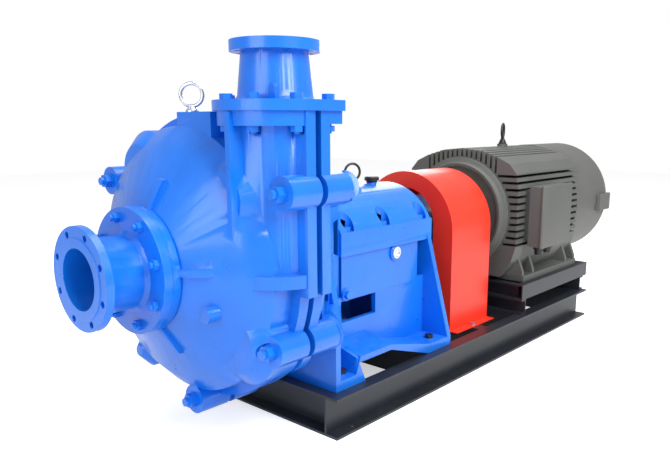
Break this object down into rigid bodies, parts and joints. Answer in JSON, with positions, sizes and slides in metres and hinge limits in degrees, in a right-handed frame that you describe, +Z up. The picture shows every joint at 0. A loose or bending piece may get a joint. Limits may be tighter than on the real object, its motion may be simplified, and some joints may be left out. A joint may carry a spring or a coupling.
{
  "type": "slurry pump",
  "caption": "Horizontal lined slurry pump with bearing pedestal, guarded pin coupling and foot-mounted motor on one channel base frame.",
  "frame": {"origin": "centre of the foundation bolt pattern, on the base frame's underside", "axes": "+X along the shafts from the suction flange towards the motor, +Y away from the discharge branch, +Z up"},
  "size_m": [3.437, 1.0911, 1.408],
  "materials": {
    "blue_casting": "gloss enamel on cast iron",
    "base_paint": "dark blue-black enamel",
    "blue_bolts": "gloss enamel over steel",
    "bolt_steel": "zinc plate",
    "white_iron": "as cast wear-resistant iron",
    "packing": "matt",
    "machined_steel": "turned",
    "black_steel": "black oxide",
    "sight_glass_metal": "bright",
    "guard_red": "gloss enamel on sheet steel",
    "motor_paint": "satin grey enamel",
    "black_plastic": "matt",
    "stator_iron": "varnished laminations"
  },
  "bodies": {
    "frame": {"base_side_rails": "base_paint", "base_cross_channels": "base_paint", "motor_stand_packers": "base_paint", "motor_stand_side_beams": "base_paint", "motor_stand_cross_beams": "base_paint", "suction_spool": "blue_casting", "suction_studs": "blue_bolts", "discharge_spool": "blue_casting", "discharge_spool_bolts": "blue_bolts", "front_casing": "blue_casting", "rear_casing": "blue_casting", "casing_studs": "blue_bolts", "casing_eye_bolt": "bolt_steel", "volute_liner": "white_iron", "front_liner": "white_iron", "rear_liner": "white_iron", "expeller_ring": "blue_casting", "stuffing_box": "white_iron", "packing_rings": "packing", "gland_studs": "bolt_steel", "pump_bearing_outer_races": "machined_steel", "bearing_caps": "blue_casting", "bearing_bracket": "blue_casting", "pedestal_bolts": "black_steel", "bearing_cover": "blue_casting", "bearing_cover_bolts": "blue_bolts", "bearing_cover_eye_bolt": "black_steel", "oil_breather": "black_steel", "oil_sight_glass": "sight_glass_metal", "oil_drain_plug": "blue_bolts", "coupling_guard": "guard_red", "guard_bolts": "bolt_steel", "motor_frame": "motor_paint", "motor_drive_end_shield": "motor_paint", "motor_rear_end_shield": "motor_paint", "motor_stator": "stator_iron", "motor_bearing_outer_races": "machined_steel", "fan_cowl": "motor_paint", "cowl_side_box": "motor_paint", "terminal_box": "motor_paint", "terminal_box_lid": "motor_paint", "cable_glands": "black_plastic", "heater_box": "black_steel", "motor_eye_bolt": "black_steel", "motor_foot_bolts": "black_steel"},
    "pump_rotor": {"impeller": "white_iron", "expeller": "white_iron", "shaft_sleeve": "machined_steel", "pump_shaft": "machined_steel", "pump_bearing_inner_races": "machined_steel", "pump_coupling_half": "machined_steel", "coupling_pins": "bolt_steel"},
    "gland": {"packing_gland": "bolt_steel", "gland_nuts": "bolt_steel"},
    "pump_bearing_cages": {"pump_bearing_rollers": "machined_steel"},
    "motor_rotor_set": {"motor_rotor": "machined_steel", "motor_bearing_inner_races": "machined_steel", "motor_coupling_half": "machined_steel", "coupling_bushes": "packing", "motor_fan": "black_plastic"}
  },
  "joints": [
    {"name": "pump_rotor_spin", "type": "hinge", "parent": "frame", "child": "pump_rotor", "pos_m": [0, 0, 0.675], "axis": [-1, 0, 0], "continuous": true},
    {"name": "motor_rotor_spin", "type": "hinge", "parent": "frame", "child": "motor_rotor_set", "pos_m": [0, 0, 0.675], "axis": [-1, 0, 0], "continuous": true},
    {"name": "pump_bearing_roll", "type": "hinge", "parent": "frame", "child": "pump_bearing_cages", "pos_m": [0, 0, 0.675], "axis": [-1, 0, 0], "continuous": true},
    {"name": "gland_slide", "type": "slide", "parent": "frame", "child": "gland", "axis": [1, 0, 0], "range_m": [0, 0.01]}
  ],
  "couplings": [
    {"joint": "motor_rotor_spin", "follows": "pump_rotor_spin", "ratio": 1},
    {"joint": "pump_bearing_roll", "follows": "pump_rotor_spin", "ratio": 0.44}
  ]
}
